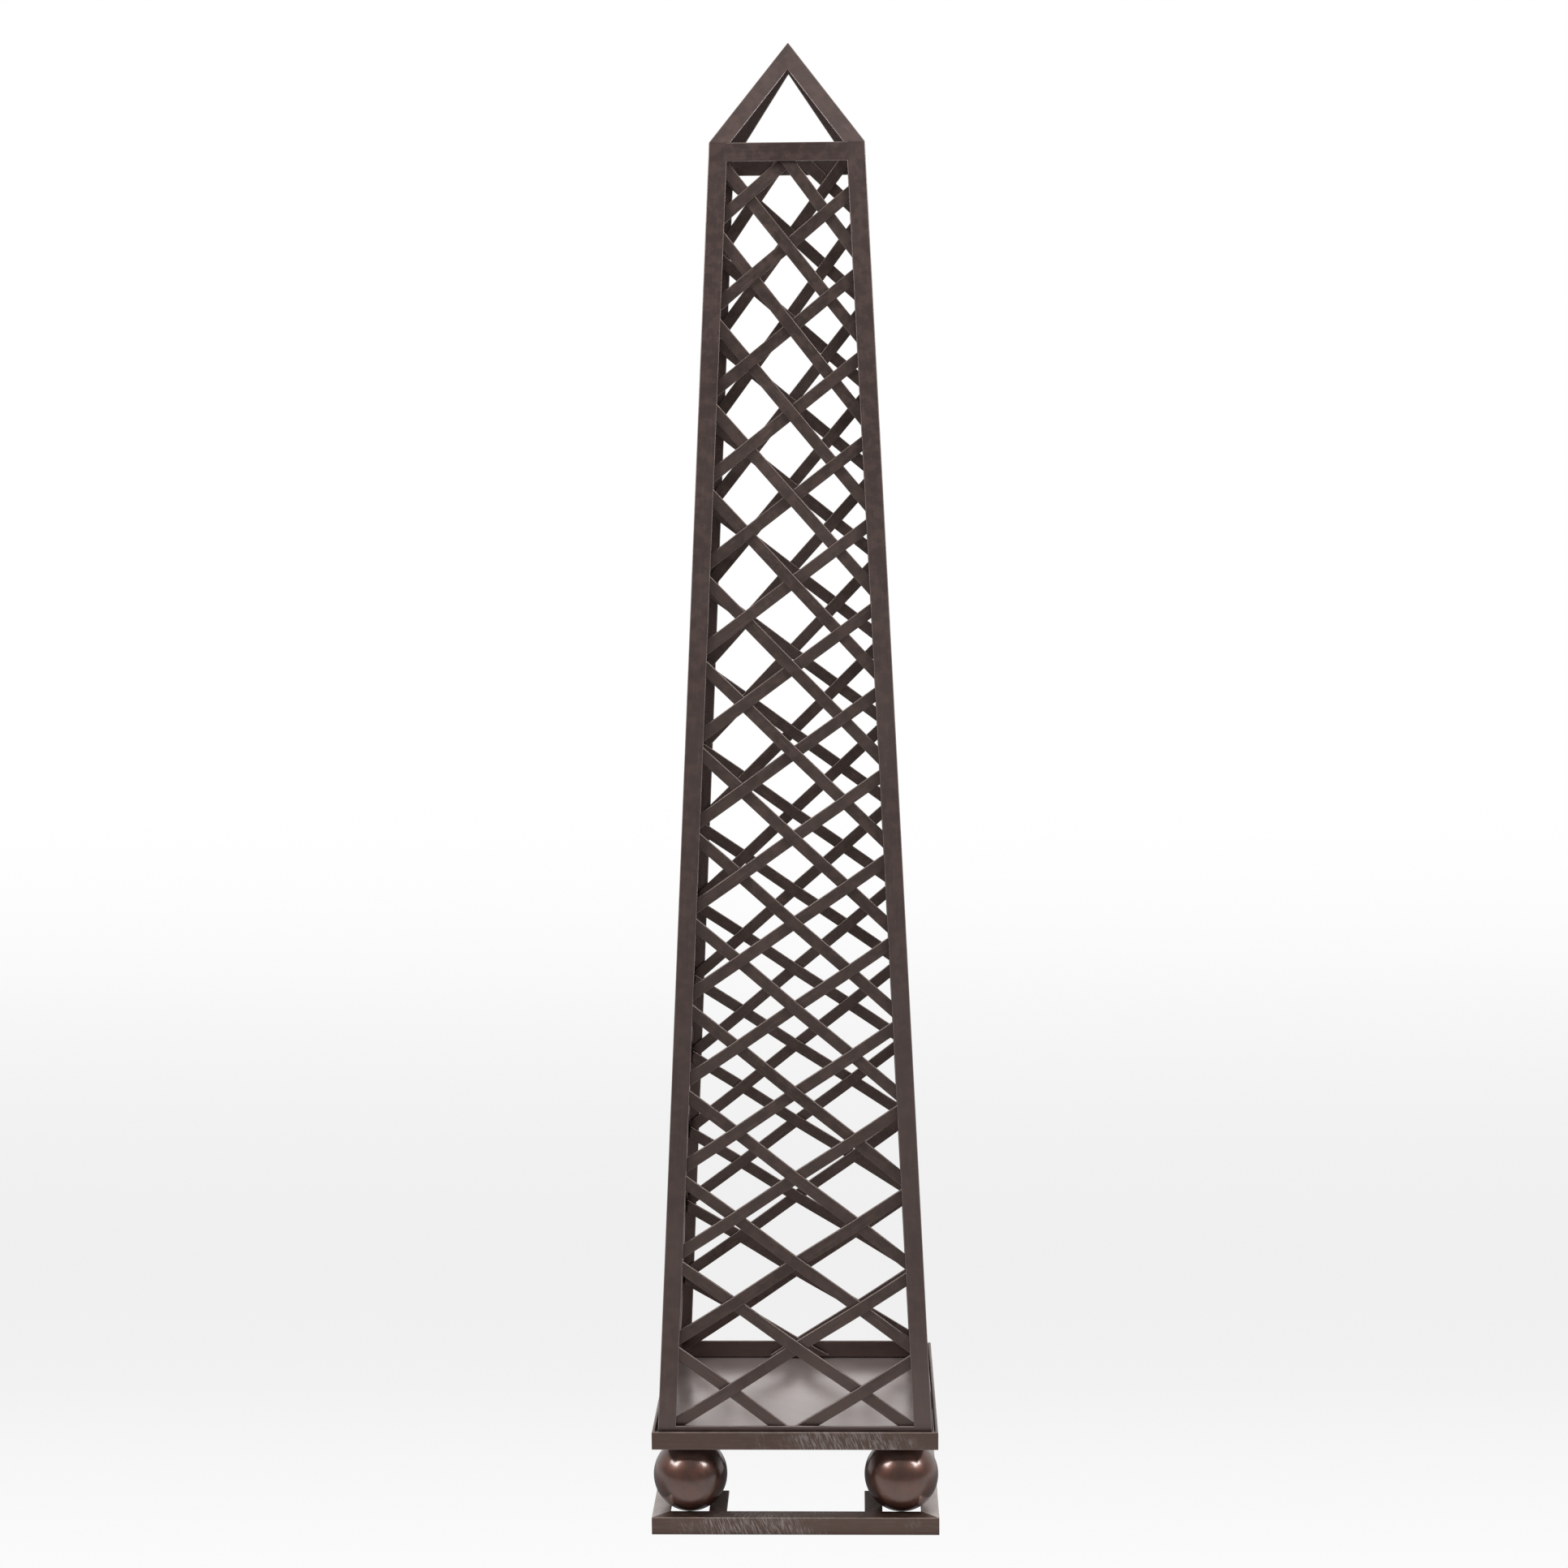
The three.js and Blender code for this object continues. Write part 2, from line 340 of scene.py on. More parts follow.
def patinated_steel(name, look):
    """Brown steel: clouded and mottled patina, brushed streaks along the bar, rubbed patches, heat tint near
    the welds, edges lighter, partly from rubbed wear and partly a painted highlight, and a fine mill skin in
    the bump. A look with "strokes" also has short slanted scratches in places, and one with a painted top
    reflection is paler where it faces up, a painted reflection of the bright surroundings."""
    material = bpy.data.materials.new(name)
    material.use_nodes = True
    tree = material.node_tree
    shader = tree.nodes["Principled BSDF"]
    place = node(tree, "ShaderNodeTexCoord").outputs["Object"]
    grain = attribute(tree, "grain", "Vector")

    cloud = remap(tree, noise_at(tree, place, look["cloud_scale"], 5.0, 0.6, 0.6), 0.34, 0.68)
    mottle = remap(tree, noise_at(tree, place, MOTTLE_SCALE, 5.0, 0.62), 0.36, 0.66)
    speck = remap(tree, noise_at(tree, place, SPECK_SCALE, 3.0, 0.6), 0.60, 0.78)
    brushed = noise_at(tree, stretched(tree, grain, BRUSHED_SCALE), 1.0, 4.0, 0.6)
    streak = remap(tree, brushed, 0.52, 0.80)

    cloud = plus(tree, times(tree, cloud, 0.6), times(tree, attribute(tree, "tone", "Fac"), 0.4))
    colour = mix(tree, cloud, look["dark"], look["light"])
    colour = mix(tree, times(tree, mottle, 0.45), colour, look["warm"])
    colour = mix(tree, times(tree, streak, look["streak"]), colour, look["scuff"])

    patch = noise_at(tree, place, look["patch_scale"], 4.0, 0.7, 1.2)
    rubbed = times(tree, remap(tree, patch, 0.58, 0.74), look["patch"])
    rubbed = times(tree, rubbed, remap(tree, brushed, 0.38, 0.62, 0.45, 1.0))
    colour = mix(tree, rubbed, colour, look["scuff"])

    if "strokes" in look:
        slanted = node(tree, "ShaderNodeMapping", {"Vector": grain, "Rotation": (0, STROKE_SLANT, 0)})
        crossways = stretched(tree, slanted.outputs["Vector"], STROKE_SCALE)
        stroke = remap(tree, noise_at(tree, crossways, 1.0, 3.0, 0.65, 0.4), 0.44, 0.66)
        spots = noise_at(tree, stretched(tree, grain, STROKE_AREA_SCALE), 1.0, 3.0, 0.6)
        area = plus(tree, times(tree, attribute(tree, "rub", "Fac"), 0.5), spots)
        area = remap(tree, area, 0.62, 0.86)
        colour = mix(tree, times(tree, times(tree, stroke, area), look["strokes"]), colour, look["scuff"])

    heat = attribute(tree, "heat", "Fac")
    uneven = noise_at(tree, place, HEAT_SCALE, 3.0, 0.6)
    tint = times(tree, heat, remap(tree, uneven, 0.32, 0.62, 0.25, 1.0))
    colour = mix(tree, times(tree, tint, look["heat"]), colour, look["heated"])

    # The rounded outer edges are lighter: partly rubbed edge wear, partly a painted highlight.
    edge_wear_and_highlight = attribute(tree, "edge_wear_and_highlight", "Fac")
    uneven = noise_at(tree, place, EDGE_WEAR_AND_HIGHLIGHT_SCALE, 3.0, 0.6)
    worn_and_highlit = times(tree, edge_wear_and_highlight, remap(tree, uneven, 0.30, 0.62, 0.55, 1.0))
    colour = mix(tree, times(tree, worn_and_highlit, look["edge"]), colour, look["bright"])
    colour = mix(tree, times(tree, speck, look["speck"]), colour, look["dark"])
    # Faces that point up are paler: a painted reflection of the bright surroundings.
    if "painted_top_reflection" in look:
        normal = node(tree, "ShaderNodeNewGeometry").outputs["Normal"]
        upward = node(tree, "ShaderNodeSeparateXYZ", {"Vector": normal}).outputs["Z"]
        painted_up_reflection = times(tree, remap(tree, upward, 0.80, 0.97), look["painted_top_reflection"])
        painted_up_reflection = times(tree, painted_up_reflection, remap(tree, cloud, 0.0, 0.8, 0.6, 1.0))
        colour = mix(tree, painted_up_reflection, colour, look["top_reflection_colour"])
    tree.links.new(colour, shader.inputs["Base Color"])

    rough = remap(tree, mottle, 0.0, 1.0, look["smooth"], look["rough"])
    rough = plus(tree, rough, times(tree, streak, 0.25 * look["streak"]))
    rough = plus(tree, rough, times(tree, edge_wear_and_highlight, 0.25))
    tree.links.new(rough, shader.inputs["Roughness"])
    shader.inputs["Metallic"].default_value = look["metallic"]
    shader.inputs["Specular IOR Level"].default_value = 0.5
    shader.inputs["Specular Tint"].default_value = (*look["grazing"], 1.0)
    shader.inputs["Coat Weight"].default_value = look["coat"]
    shader.inputs["Coat Roughness"].default_value = look["coat_roughness"]
    shader.inputs["Coat IOR"].default_value = look["coat_ior"]

    skin = noise_at(tree, place, SKIN_SCALE, 3.0, 0.6)
    ripple = noise_at(tree, place, RIPPLE_SCALE, 3.0, 0.5)
    height = plus(tree, times(tree, skin, look["skin"]), times(tree, ripple, look["ripple"]))
    height = plus(tree, height, times(tree, brushed, look["skin"]))
    flats = remap(tree, edge_wear_and_highlight, 0.0, 0.5, look["bump"], 0.0)
    bump = node(tree, "ShaderNodeBump", {"Height": height, "Strength": flats, "Distance": BUMP_DEPTH})
    tree.links.new(bump.outputs["Normal"], shader.inputs["Normal"])
    return material


BAR_LOOK = {
    "cloud_scale": 6.0,
    "dark": (0.078, 0.048, 0.043),
    "light": (0.120, 0.084, 0.077),
    "warm": (0.112, 0.068, 0.058),
    "scuff": (0.20, 0.165, 0.155),
    # The lighter colour of the rounded edges: partly rubbed wear, partly a painted highlight
    "bright": (0.38, 0.33, 0.30),
    "heated": (0.175, 0.064, 0.052),
    "grazing": (0.8, 0.76, 0.74),
    "streak": 0.25,
    "patch_scale": 14.0,
    "patch": 0.08,
    "speck": 0.20,
    "heat": 0.60,
    "edge": 0.60,
    "smooth": 0.36,
    "rough": 0.50,
    "metallic": 0.85,
    "coat": 0.8,
    "coat_roughness": 0.30,
    "coat_ior": 1.50,
    "skin": 0.3,
    "ripple": 0.6,
    "bump": 0.16,
}
BASE_LOOK = {
    **BAR_LOOK,
    "dark": (0.066, 0.036, 0.027),
    "light": (0.094, 0.058, 0.045),
    "warm": (0.104, 0.052, 0.037),
    "scuff": (0.24, 0.205, 0.195),
    "patch": 0.25,
    "strokes": 0.90,
    "heat": 0.90,
    "coat": 0.6,
}
# The side rails are painted paler on their tops where they face up: a painted reflection of the bright
# surroundings
SIDE_RAIL_LOOK = {
    **BASE_LOOK,
    "painted_top_reflection": 0.85,
    "top_reflection_colour": (0.68, 0.62, 0.59),
}
STRIP_LOOK = {
    **BAR_LOOK,
    "dark": (0.068, 0.045, 0.038),
    "light": (0.112, 0.080, 0.070),
    "edge": 0.10,
    "coat": 0.5,
    "coat_roughness": 0.38,
}
BALL_LOOK = {
    **BAR_LOOK,
    "cloud_scale": 22.0,
    "dark": (0.050, 0.022, 0.015),
    "light": (0.106, 0.046, 0.031),
    "warm": (0.138, 0.046, 0.028),
    "scuff": (0.20, 0.12, 0.09),
    "grazing": (0.30, 0.22, 0.19),
    "streak": 0.06,
    "patch": 0.0,
    "speck": 0.05,
    "smooth": 0.36,
    "rough": 0.40,
    "coat": 1.0,
    "coat_roughness": 0.20,
    "coat_ior": 1.65,
    "ripple": 0.3,
    "bump": 0.03,
}
# The sheet's pale colours are partly its own paler finish and partly a painted reflection of the bright
# backdrop
PLATE_LOOK = {
    **BAR_LOOK,
    "cloud_scale": 14.0,
    "dark": (0.270, 0.215, 0.205),
    "light": (0.370, 0.315, 0.300),
    "warm": (0.330, 0.262, 0.245),
    "streak": 0.0,
    "patch": 0.10,
    "speck": 0.0,
    "smooth": 0.28,
    "rough": 0.31,
    "metallic": 0.55,
    "coat": 1.0,
    "coat_roughness": 0.22,
    "coat_ior": 1.65,
    "skin": 0.0,
    "ripple": 1.0,
    "bump": 0.04,
}
bar_steel = patinated_steel("bar_steel", BAR_LOOK)
base_steel = patinated_steel("base_steel", BASE_LOOK)
side_rail_steel = patinated_steel("side_rail_steel", SIDE_RAIL_LOOK)
strip_steel = patinated_steel("strip_steel", STRIP_LOOK)
ball_steel = patinated_steel("ball_steel", BALL_LOOK)
plate_steel = patinated_steel("plate_steel", PLATE_LOOK)


# ---------------------------------------------------------------- plinth
# How far the heat tint reaches from the welds, and the (centre, reach) of the rubbed area along a rail
RAIL_HEAT = 40 * MM
SEAT_HEAT = 22 * MM
RAIL_RUB = (0.38, 0.42)


def rail_piece(k):
    """A mitred angle: its skirt hangs on the outside and its flange lies across the top."""
    height = PLINTH_HIGH.z
    under = height - BAR_THICKNESS
    section = rounded_outline(
        [
            (0, 0, 0.7 * MM),
            (BAR_THICKNESS, 0, ANGLE_TOE),
            (BAR_THICKNESS, under, FILLET),
            (BAR_WIDTH, under, ANGLE_TOE),
            (BAR_WIDTH, height, 0.8 * MM),
            (0, height, 1.1 * MM),
        ]
    )

    def place(u, v, t):
        reach = PLINTH_HALF - u
        return (reach * (2 * t - 1), -PLINTH_HALF + u, v)

    builder = Builder()
    length = 2 * PLINTH_HALF
    builder.loft(section, place, spread(30), length, near_ends(RAIL_HEAT, length), near_spot(*RAIL_RUB))
    name = f"plinth_rail_{SIDES[k]}"
    steel = side_rail_steel if SIDES[k] in ("right", "left") else base_steel
    finish_piece("angle_" + name, builder.mesh(name), name, steel, k)


def flat_section(left, right, bottom, top, radius):
    return rounded_outline(
        [(left, bottom, radius), (right, bottom, radius), (right, top, radius), (left, top, radius)]
    )


def seat_pieces(k):
    """The two flat bars that close the square under a ball, level with the top of the plinth."""
    top = PLINTH_HIGH.z
    section = flat_section(0, BAR_WIDTH, top - BAR_THICKNESS, top, 0.8 * MM)
    rail_edge = PLINTH_HALF - BAR_WIDTH
    length = rail_edge + SEAT_EDGE

    def across(u, v, t):
        start = -rail_edge + GAP / 2
        end = SEAT_EDGE - GAP / 2 - u
        return (start + (end - start) * t, SEAT_EDGE - u, v)

    def backwards(u, v, t):
        x, y, z = across(u, v, t)
        return (y, x, z)

    for label, place in (("across", across), ("backwards", backwards)):
        builder = Builder()
        builder.loft(section, place, spread(6), length, near_ends(SEAT_HEAT, length))
        name = f"seat_bar_{label}_{CORNERS[k]}"
        finish_piece("flat_" + name, builder.mesh(name), name, base_steel, k)


# ---------------------------------------------------------------- balls
BALL_RINGS = 56
BALL_AROUND = 112
# Half the angle that the small flats at the top and the bottom take up
BALL_FLAT = 0.10
BALL_UNEVENNESS = 0.0008
BALL_UNEVEN_SCALE = 40
BALL_HEAT = 8 * MM


def ball_piece(k):
    """A turned steel ball, very slightly uneven, with small flats where it was parted off."""
    builder = Builder()
    own_place = Vector((7 * k, 0, 3))
    for j in range(BALL_RINGS + 1):
        angle = BALL_FLAT + (math.pi - 2 * BALL_FLAT) * j / BALL_RINGS
        radius = BALL_RADIUS * math.sin(angle)
        height = -BALL_RADIUS * math.cos(angle)
        for i in range(BALL_AROUND):
            turn = 2 * math.pi * i / BALL_AROUND
            spoke = Vector((radius * math.cos(turn), radius * math.sin(turn), height))
            dent = 1 + noise.noise(spoke * BALL_UNEVEN_SCALE + own_place)
            point = BALL_CENTRE + spoke * (1 - BALL_UNEVENNESS * dent)
            builder.points.append(point)
            builder.edge_wear_and_highlight.append(0.0)
            builder.heat.append(max(0.0, 1 - (point.z - BALL_LOW.z) / BALL_HEAT))
            builder.grain.append((turn * BALL_RADIUS, height, radius))
    for j in range(BALL_RINGS):
        for i in range(BALL_AROUND):
            a = j * BALL_AROUND + i
            b = j * BALL_AROUND + (i + 1) % BALL_AROUND
            builder.faces.append((a, b, b + BALL_AROUND, a + BALL_AROUND))
    top_ring = BALL_RINGS * BALL_AROUND
    builder.faces.append(tuple(range(BALL_AROUND - 1, -1, -1)))
    builder.faces.append(tuple(range(top_ring, top_ring + BALL_AROUND)))
    name = f"ball_{CORNERS[k]}"
    finish_piece("turned_" + name, builder.mesh(name), name, ball_steel, k)


# ---------------------------------------------------------------- tray
LIP_HEAT = 45 * MM
LIP_RUB = (0.68, 0.38)
PLATE_CELLS = 60
PLATE_EDGE = 0.6 * MM
PLATE_INSET = 0.5 * MM
# The sheet's sag and how fine it is, and how far the heat tint reaches from its corners and its borders
PLATE_SAG = 0.12 * MM
PLATE_SAG_SCALE = 14
PLATE_CORNER_HEAT = 45 * MM
PLATE_BORDER_HEAT = 22 * MM
BORDER_HEAT_STRENGTH = 0.7


def lip_piece(k):
    section = rounded_outline(
        [
            (0, LIP_LOW.z, 0.9 * MM),
            (BAR_THICKNESS, LIP_LOW.z, 0.6 * MM),
            (BAR_THICKNESS, LIP_HIGH.z, 0.9 * MM),
            (0, LIP_HIGH.z, 1.1 * MM),
        ]
    )

    def place(u, v, t):
        reach = LIP_HALF - u
        return (reach * (2 * t - 1), -LIP_HALF + u, v)

    builder = Builder()
    length = 2 * LIP_HALF
    builder.loft(section, place, spread(30), length, near_ends(LIP_HEAT, length), near_spot(*LIP_RUB))
    name = f"tray_lip_{SIDES[k]}"
    finish_piece("band_" + name, builder.mesh(name), name, base_steel, k)


def plate_piece():
    """The tray's floor: one sheet, a little uneven, with rounded edges."""
    half = PLATE_HIGH.x
    flat_half = half - PLATE_INSET
    cells = PLATE_CELLS
    builder = Builder()

    def add(x, y, z):
        builder.points.append((x, y, z))
        to_edge = half - max(abs(x), abs(y))
        builder.edge_wear_and_highlight.append(1.0 if to_edge < PLATE_EDGE else 0.0)
        corner = 1 - math.hypot(half - abs(x), half - abs(y)) / PLATE_CORNER_HEAT
        border = BORDER_HEAT_STRENGTH * (1 - to_edge / PLATE_BORDER_HEAT)
        builder.heat.append(max(0.0, corner, border))
        builder.grain.append((x, y, z))

    for top in (True, False):
        for j in range(cells + 1):
            for i in range(cells + 1):
                x = (2 * i / cells - 1) * flat_half
                y = (2 * j / cells - 1) * flat_half
                spot = Vector((x * PLATE_SAG_SCALE, y * PLATE_SAG_SCALE, 2.0))
                sag = PLATE_SAG * (1 + noise.noise(spot))
                add(x, y, PLATE_HIGH.z - sag if top else PLATE_LOW.z)
    row = cells + 1
    under = row * row
    for j in range(cells):
        for i in range(cells):
            a = j * row + i
            builder.faces.append((a, a + 1, a + 1 + row, a + row))
            builder.faces.append((under + a + row, under + a + 1 + row, under + a + 1, under + a))
    # The rim of the upper side, once round, and the same with two rings of the upright edge below it
    rim = list(range(row))
    rim += [j * row + cells for j in range(1, row)]
    rim += [cells * row + i for i in range(cells - 1, -1, -1)]
    rim += [j * row for j in range(cells - 1, 0, -1)]
    loops = [rim]
    outwards = half / flat_half
    for height in (PLATE_HIGH.z - PLATE_EDGE, PLATE_LOW.z + PLATE_EDGE):
        start = len(builder.points)
        for index in rim:
            x, y, _ = builder.points[index]
            add(x * outwards, y * outwards, height)
        loops.append(list(range(start, start + len(rim))))
    loops.append([under + index for index in rim])
    for upper, lower in zip(loops, loops[1:]):
        for n in range(len(rim)):
            m = (n + 1) % len(rim)
            builder.faces.append((upper[m], upper[n], lower[n], lower[m]))
    finish_piece("sheet_tray_plate", builder.mesh("plate"), "tray_plate", plate_steel)


# ---------------------------------------------------------------- tower
# How light each leg is, in the order of CORNERS. The small differences are the legs' own tone; the front
# right leg's much lighter value is painted light, for the stronger light falling on that side.
LEG_TONES_AND_PAINTED_LIGHT = [0.35, 1.0, 0.5, 0.4]
LEG_HEAT = 55 * MM
HIP_HEAT = 35 * MM
CROSS_BAR_HEAT = 30 * MM
# Length of grain along a hip for each unit of its height
HIP_GRAIN_STRETCH = 1.6


def leg_piece(k):
    """A corner leg: an angle whose flanges lie in the two leaning faces."""
    section = rounded_outline(
        angle_section(BAR_WIDTH, BAR_THICKNESS, BAR_WIDTH, LEG_TOE, FILLET, 1.0 * MM)
    )
    height = HIP_LOW.z - TOWER_BOTTOM

    def place(u, v, t):
        z = TOWER_BOTTOM + height * t
        half = tower_half(z)
        return (-half + u, -half + v, z)

    # The front right leg's lighter tone is painted light
    builder = Builder(LEG_TONES_AND_PAINTED_LIGHT[k])
    builder.loft(section, place, spread(60), height, near_ends(LEG_HEAT, height))
    name = f"leg_{CORNERS[k]}"
    finish_piece("angle_" + name, builder.mesh(name), name, bar_steel, k)


def hip_piece(k):
    """A hip of the pyramid, cut where it meets its neighbours at the tip."""
    face_slope = math.atan(HIP_TAPER)
    edge_slope = math.atan(1 / (HIP_TAPER * math.cos(face_slope)))
    width = BAR_WIDTH / math.sin(edge_slope)
    thickness = BAR_THICKNESS / math.cos(face_slope)
    section = rounded_outline(angle_section(width, thickness, width, ANGLE_TOE, FILLET, 1.2 * MM))
    height = APEX_HEIGHT - SHOULDER

    def place(u, v, t):
        z = SHOULDER + GAP / 2 + height * t
        half = SHOULDER_HALF - HIP_TAPER * height * t
        return (-half + u, -half + v, z)

    length = height * HIP_GRAIN_STRETCH
    builder = Builder()
    builder.loft(section, place, spread(16), length, near_ends(HIP_HEAT, length))
    name = f"hip_{CORNERS[k]}"
    mesh = builder.mesh(name)
    cuts = [
        (Vector((0, 0, 0)), Vector((1, 0, 0))),
        (Vector((0, 0, 0)), Vector((0, 1, 0))),
    ]
    mesh_cut(mesh, cuts)
    finish_piece("angle_" + name, mesh, name, bar_steel, k)


def cross_bar_piece(k, label, bottom, top):
    """A flat bar between the legs of one face, flush with them and leaning as they do."""
    section = flat_section(0, BAR_THICKNESS, bottom, top, 0.9 * MM)

    def place(u, v, t):
        half = tower_half(v)
        reach = half - BAR_WIDTH + LEG_TOE / 2
        return (reach * (2 * t - 1), -half + u, v)

    length = 2 * (tower_half(bottom) - BAR_WIDTH)
    builder = Builder()
    builder.loft(section, place, spread(20), length, near_ends(CROSS_BAR_HEAT, length))
    name = f"{label}_{SIDES[k]}"
    finish_piece("flat_" + name, builder.mesh(name), name, bar_steel, k)


# ---------------------------------------------------------------- woven strips
# Driving values of the weave, the same as the CAD's. Each side of a face has meeting points at even steps up
# the legs. A strip runs from one of them to the point two steps higher on the other side.
UNITS = 15
LOWEST_UNIT = -1
TUCKED_UNITS = 2
MEETING_INSET = 5.7 * MM
LEAN_AT_BOTTOM = 4 * MM
LEAN_AT_TOP = 22 * MM
TOP_TUCK = 16 * MM
WEAVE = 1.62 * MM
LATTICE_END_COVER = 5 * MM
# For each face, in mm: height of the first and last meeting points, how far the middle ones are raised, and
# how much lower the lowest falling strip starts
FACES = [(105, 1437, 10, 16), (107, 1448, 4, 0), (112, 1463, -6, 0), (107, 1448, 4, 0)]
# How far behind the bars the middle of the weave lies, beyond half a strip's thickness, and how much a strip
# may be turned and set sideways
STRIP_CLEARANCE = 1.4 * MM
STRIP_TWIST = 0.35 * MM
STRIP_SHIFT = 0.6 * MM
STRIP_EDGE = 0.9 * MM
STRIP_HEAT = 34 * MM


def meeting_point(face, unit, side):
    first, last, bow = (value * MM for value in FACES[face][:3])
    part = unit / UNITS
    middle = first + (last - first) * part + bow * 4 * part * (1 - part)
    lean = LEAN_AT_BOTTOM + (LEAN_AT_TOP - LEAN_AT_BOTTOM) * part
    z = middle - side * lean
    return Vector((side * (tower_half(z) - MEETING_INSET), z))


def strip_line(face, unit, rising):
    low = meeting_point(face, unit, -1 if rising else 1)
    high = meeting_point(face, unit + 2, 1 if rising else -1)
    if not rising and unit >= UNITS - TUCKED_UNITS:
        high.y -= TOP_TUCK
    if not rising and unit == LOWEST_UNIT:
        low.y -= FACES[face][3] * MM
    return low, high


def crossing_distance(line, other):
    along = (line[1] - line[0]).normalized()
    other_along = (other[1] - other[0]).normalized()
    between = other[0] - line[0]
    return between.cross(other_along) / along.cross(other_along)


def woven_strip(face, unit, rising):
    """One bent strip, as a mesh in (x, depth behind the outer face, z)."""
    low, high = strip_line(face, unit, rising)
    along = (high - low).normalized()
    across = Vector((-along.y, along.x))
    overrun = BAR_WIDTH
    length = (high - low).length
    centre = BAR_THICKNESS + GAP + STRIP_CLEARANCE + STRIP_THICKNESS / 2
    swing = WEAVE if rising else -WEAVE
    crossings = [
        crossing_distance((low, high), strip_line(face, unit + step, not rising)) for step in (-1, 0, 1)
    ]
    knots = [
        (-overrun, centre + swing),
        (crossings[0], centre - swing),
        (crossings[1], centre + swing),
        (crossings[2], centre - swing),
        (length + overrun, centre + swing),
    ]
    twist = random.uniform(-STRIP_TWIST, STRIP_TWIST)
    shift = random.uniform(-STRIP_SHIFT, STRIP_SHIFT)

    def depth_at(distance):
        for (a, da), (b, db) in zip(knots, knots[1:]):
            if distance <= b:
                part = max(0.0, (distance - a) / (b - a))
                return da + (db - da) * (1 - math.cos(math.pi * part)) / 2
        return knots[-1][1]

    half_width = STRIP_WIDTH / 2
    half_thickness = STRIP_THICKNESS / 2
    section = flat_section(-half_width, half_width, -half_thickness, half_thickness, STRIP_EDGE)
    whole = length + 2 * overrun

    def place(u, v, t):
        distance = -overrun + whole * t
        centre_line = low + along * distance + across * (u + shift)
        depth = depth_at(distance) + v + twist * u / half_width
        return (centre_line.x, depth, centre_line.y)

    builder = Builder()
    builder.loft(section, place, spread(30), whole, near_ends(STRIP_HEAT, whole))
    return builder.mesh("strip")


def lattice_piece(k):
    """All the strips of one face, woven one over one under, and cut to the space behind the legs."""
    side_reach = FOOT_HALF + LEG_TAPER * TOWER_BOTTOM - GAP
    cuts = [
        (Vector((0, 0, TOWER_BOTTOM + LATTICE_END_COVER)), Vector((0, 0, -1))),
        (Vector((0, 0, SHOULDER - LATTICE_END_COVER)), Vector((0, 0, 1))),
        (Vector((side_reach, 0, 0)), Vector((1, 1, LEG_TAPER))),
        (Vector((-side_reach, 0, 0)), Vector((-1, 1, LEG_TAPER))),
    ]
    joined = bmesh.new()
    for unit in range(LOWEST_UNIT, UNITS):
        for rising in (True, False):
            mesh = woven_strip(k, unit, rising)
            mesh_cut(mesh, cuts)
            joined.from_mesh(mesh)
            bpy.data.meshes.remove(mesh)
    for vertex in joined.verts:
        x, depth, z = vertex.co
        vertex.co = (x, -tower_half(z) + depth, z)
    name = f"lattice_{SIDES[k]}"
    mesh = bpy.data.meshes.new(name)
    joined.to_mesh(mesh)
    joined.free()
    finish_piece("woven_" + name, mesh, name, strip_steel, k)


for k in range(4):
    rail_piece(k)
    seat_pieces(k)
    ball_piece(k)
    lip_piece(k)
    leg_piece(k)
    hip_piece(k)
    cross_bar_piece(k, "bottom_bar", LOW_BAR_LOW.z, LOW_BAR_HIGH.z)
    cross_bar_piece(k, "shoulder_bar", TOP_BAR_LOW.z, TOP_BAR_HIGH.z)
    lattice_piece(k)
plate_piece()


# ---------------------------------------------------------------- studio
# All in metres on the floor. Y is the distance behind the object's centre.
FLOOR_HALF = 30.0
FLOOR_DROP = 0.2 * MM
TONES_FROM = -1.0
TONES_TO = 7.0
# Distance behind the object and the floor's tone there: a soft grey band a metre behind it
FLOOR_TONES = [
    (-1.0, 0.985),
    (-0.23, 0.965),
    (0.07, 0.925),
    (0.35, 0.880),
    (0.85, 0.862),
    (1.59, 0.880),
    (2.22, 0.905),
    (3.05, 0.950),
    (4.2, 0.985),
    (5.8, 1.0),
]
# The band fades to white between these distances to either side
FADE_FROM = 1.8
FADE_TO = 5.0
# What reflections see: the floor's level in front of the object, and how much darker it is under it
FRONT_LEVEL = 0.40
UNDER_SHADE = 0.85


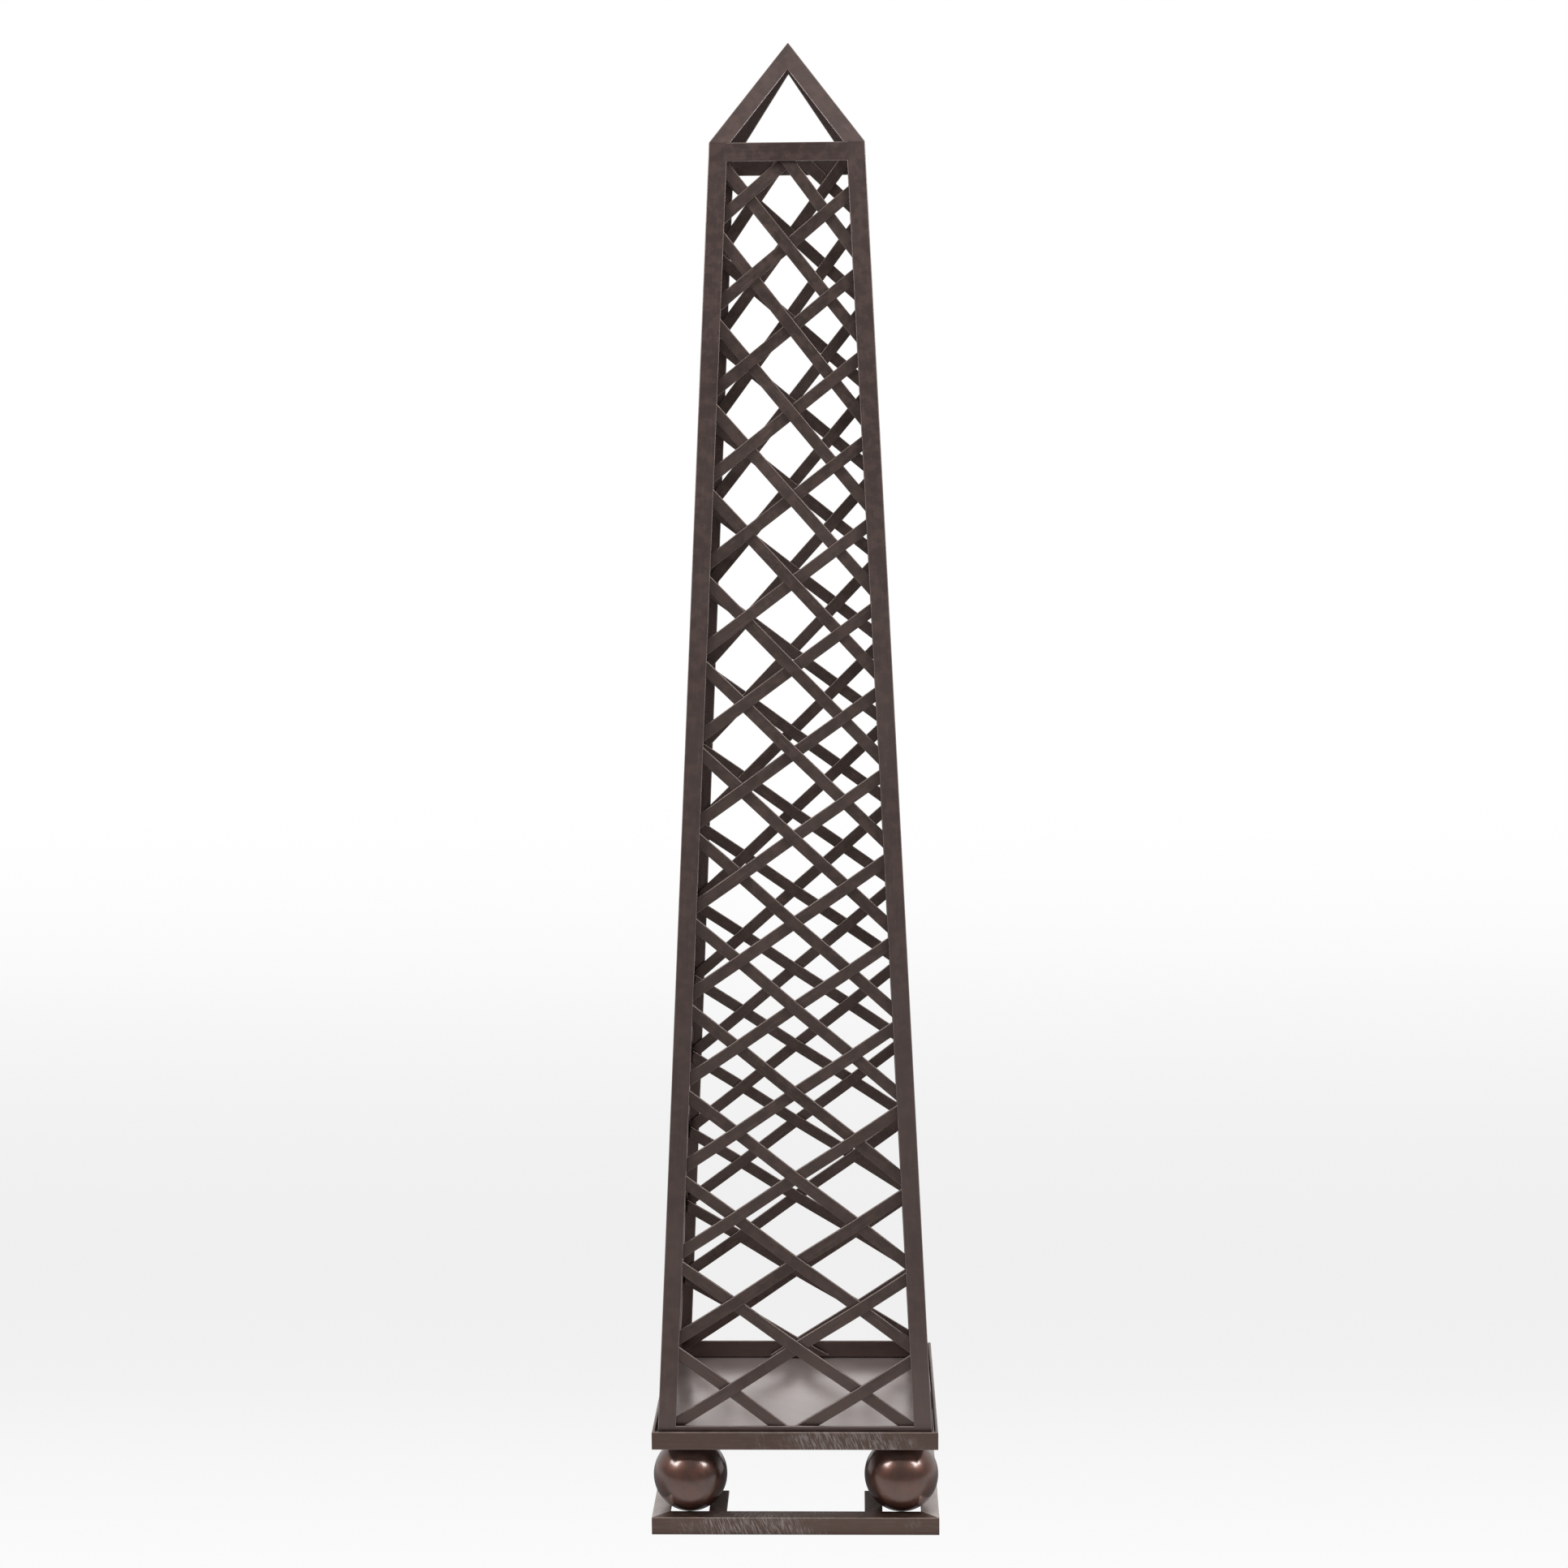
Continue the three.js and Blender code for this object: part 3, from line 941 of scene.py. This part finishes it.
def floor_object():
    """A pale seamless floor that gives off its own light and takes no shadow. The camera sees a soft grey
    band behind the object. Reflections see it darker in front of the object and under it."""
    mesh = bpy.data.meshes.new("floor")
    size = FLOOR_HALF
    mesh.from_pydata(
        [(-size, -size, 0), (size, -size, 0), (size, size, 0), (-size, size, 0)],
        [],
        [(0, 1, 2, 3)],
    )
    floor = bpy.data.objects.new("floor", mesh)
    bpy.context.scene.collection.objects.link(floor)
    floor.location.z = -FLOOR_DROP
    material = bpy.data.materials.new("floor_white")
    material.use_nodes = True
    tree = material.node_tree
    tree.nodes.clear()
    place = node(tree, "ShaderNodeTexCoord").outputs["Object"]
    parts = node(tree, "ShaderNodeSeparateXYZ", {"Vector": place})
    y = parts.outputs["Y"]
    sideways = node(tree, "ShaderNodeMath", {0: parts.outputs["X"]}, operation="ABSOLUTE").outputs[0]
    spot = remap_linear(tree, y, TONES_FROM, TONES_TO)
    ramp = node(tree, "ShaderNodeValToRGB", {"Fac": spot})
    ramp.color_ramp.interpolation = "B_SPLINE"
    elements = ramp.color_ramp.elements
    while len(elements) < len(FLOOR_TONES):
        elements.new(0.5)
    for element, (distance, tone) in zip(elements, FLOOR_TONES):
        element.position = (distance - TONES_FROM) / (TONES_TO - TONES_FROM)
        element.color = (tone, tone, tone, 1)
    seen = node(tree, "ShaderNodeLightPath").outputs["Is Camera Ray"]
    shaded = remap(tree, y, -1.1, -0.1, FRONT_LEVEL, 1.0)
    away = node(tree, "ShaderNodeVectorMath", {0: place}, operation="LENGTH").outputs["Value"]
    # The shade starts at the plinth's front, so that the front of the plinth doesn't mirror it
    behind_front = remap(tree, y, -0.17, -0.145)
    covered = times(tree, remap(tree, away, 0.10, 0.55, UNDER_SHADE, 0.0), behind_front)
    shaded = times(tree, shaded, plus(tree, 1.0, times(tree, covered, -1.0)))
    strength = node(tree, "ShaderNodeMath", {0: seen, 1: shaded}, operation="MAXIMUM").outputs[0]
    colour = mix(tree, remap(tree, sideways, FADE_FROM, FADE_TO), ramp.outputs["Color"], (1.0, 1.0, 1.0))
    glow = node(tree, "ShaderNodeEmission", {"Color": colour, "Strength": strength})
    node(tree, "ShaderNodeOutputMaterial", {"Surface": glow.outputs["Emission"]})
    mesh.materials.append(material)


# What reflections see of the surroundings: their level behind the camera, and what is added overhead
CAMERA_SIDE_LEVEL = 0.27
OVERHEAD_LEVEL = 0.30


def studio_world():
    """Soft surroundings. The camera sees white. Reflections see them white behind the object, greyer behind
    the camera and brighter overhead."""
    world = bpy.data.worlds.new("studio")
    bpy.context.scene.world = world
    world.use_nodes = True
    tree = world.node_tree
    background = tree.nodes["Background"]
    direction = node(tree, "ShaderNodeTexCoord").outputs["Generated"]
    parts = node(tree, "ShaderNodeSeparateXYZ", {"Vector": direction})
    around = remap(tree, parts.outputs["Y"], -0.2, 0.75, CAMERA_SIDE_LEVEL, 1.0)
    overhead = remap(tree, parts.outputs["Z"], 0.35, 0.95, 0.0, OVERHEAD_LEVEL)
    level = plus(tree, around, overhead)
    seen = node(tree, "ShaderNodeLightPath").outputs["Is Camera Ray"]
    tree.links.new(mix(tree, seen, level, (1.0, 1.0, 1.0)), background.inputs["Color"])
    background.inputs["Strength"].default_value = 1.0


def softbox(name, location, target, width, height, power):
    """A rectangular lamp aimed at the target, with its power in watts."""
    light = bpy.data.lights.new(name, "AREA")
    light.shape = "RECTANGLE"
    light.size = width
    light.size_y = height
    light.energy = power
    box = bpy.data.objects.new(name, light)
    box.location = location
    aim = Vector(target) - Vector(location)
    box.rotation_euler = aim.to_track_quat("-Z", "Y").to_euler()
    bpy.context.scene.collection.objects.link(box)


# The camera's place in metres, its yaw, downward pitch and roll in radians, and its lens in mm
CAMERA_PLACE = (0.0685, -3.0412, 1.1494)
CAMERA_TURN = (-0.0258, 0.1196, 0.0077)
CAMERA_LENS = 65.08
SENSOR_WIDTH = 36


def camera():
    """The camera at the photograph's viewing angle, without lens shift or depth of field."""
    yaw, pitch, roll = CAMERA_TURN
    forward = Vector(
        (math.sin(yaw) * math.cos(pitch), math.cos(yaw) * math.cos(pitch), -math.sin(pitch))
    )
    level = Vector((math.cos(yaw), -math.sin(yaw), 0))
    down = forward.cross(level)
    right = level * math.cos(roll) + down * math.sin(roll)
    up = level * math.sin(roll) - down * math.cos(roll)
    data = bpy.data.cameras.new("camera")
    data.sensor_width = SENSOR_WIDTH
    data.lens = CAMERA_LENS
    data.clip_end = 100
    made = bpy.data.objects.new("camera", data)
    axes = Matrix((right, up, -forward)).transposed().to_4x4()
    axes.translation = Vector(CAMERA_PLACE)
    made.matrix_world = axes
    bpy.context.scene.collection.objects.link(made)
    bpy.context.scene.camera = made


floor_object()
studio_world()
LIT_SPOT = (0, 0, 0.4)
softbox("softbox_left", (-2.8, -1.3, 3.0), LIT_SPOT, 1.9, 1.7, 175)
softbox("softbox_right", (2.8, -1.3, 3.0), LIT_SPOT, 1.7, 1.7, 165)
camera()
bpy.context.scene.view_settings.view_transform = "Standard"
bpy.context.scene.view_settings.look = "None"
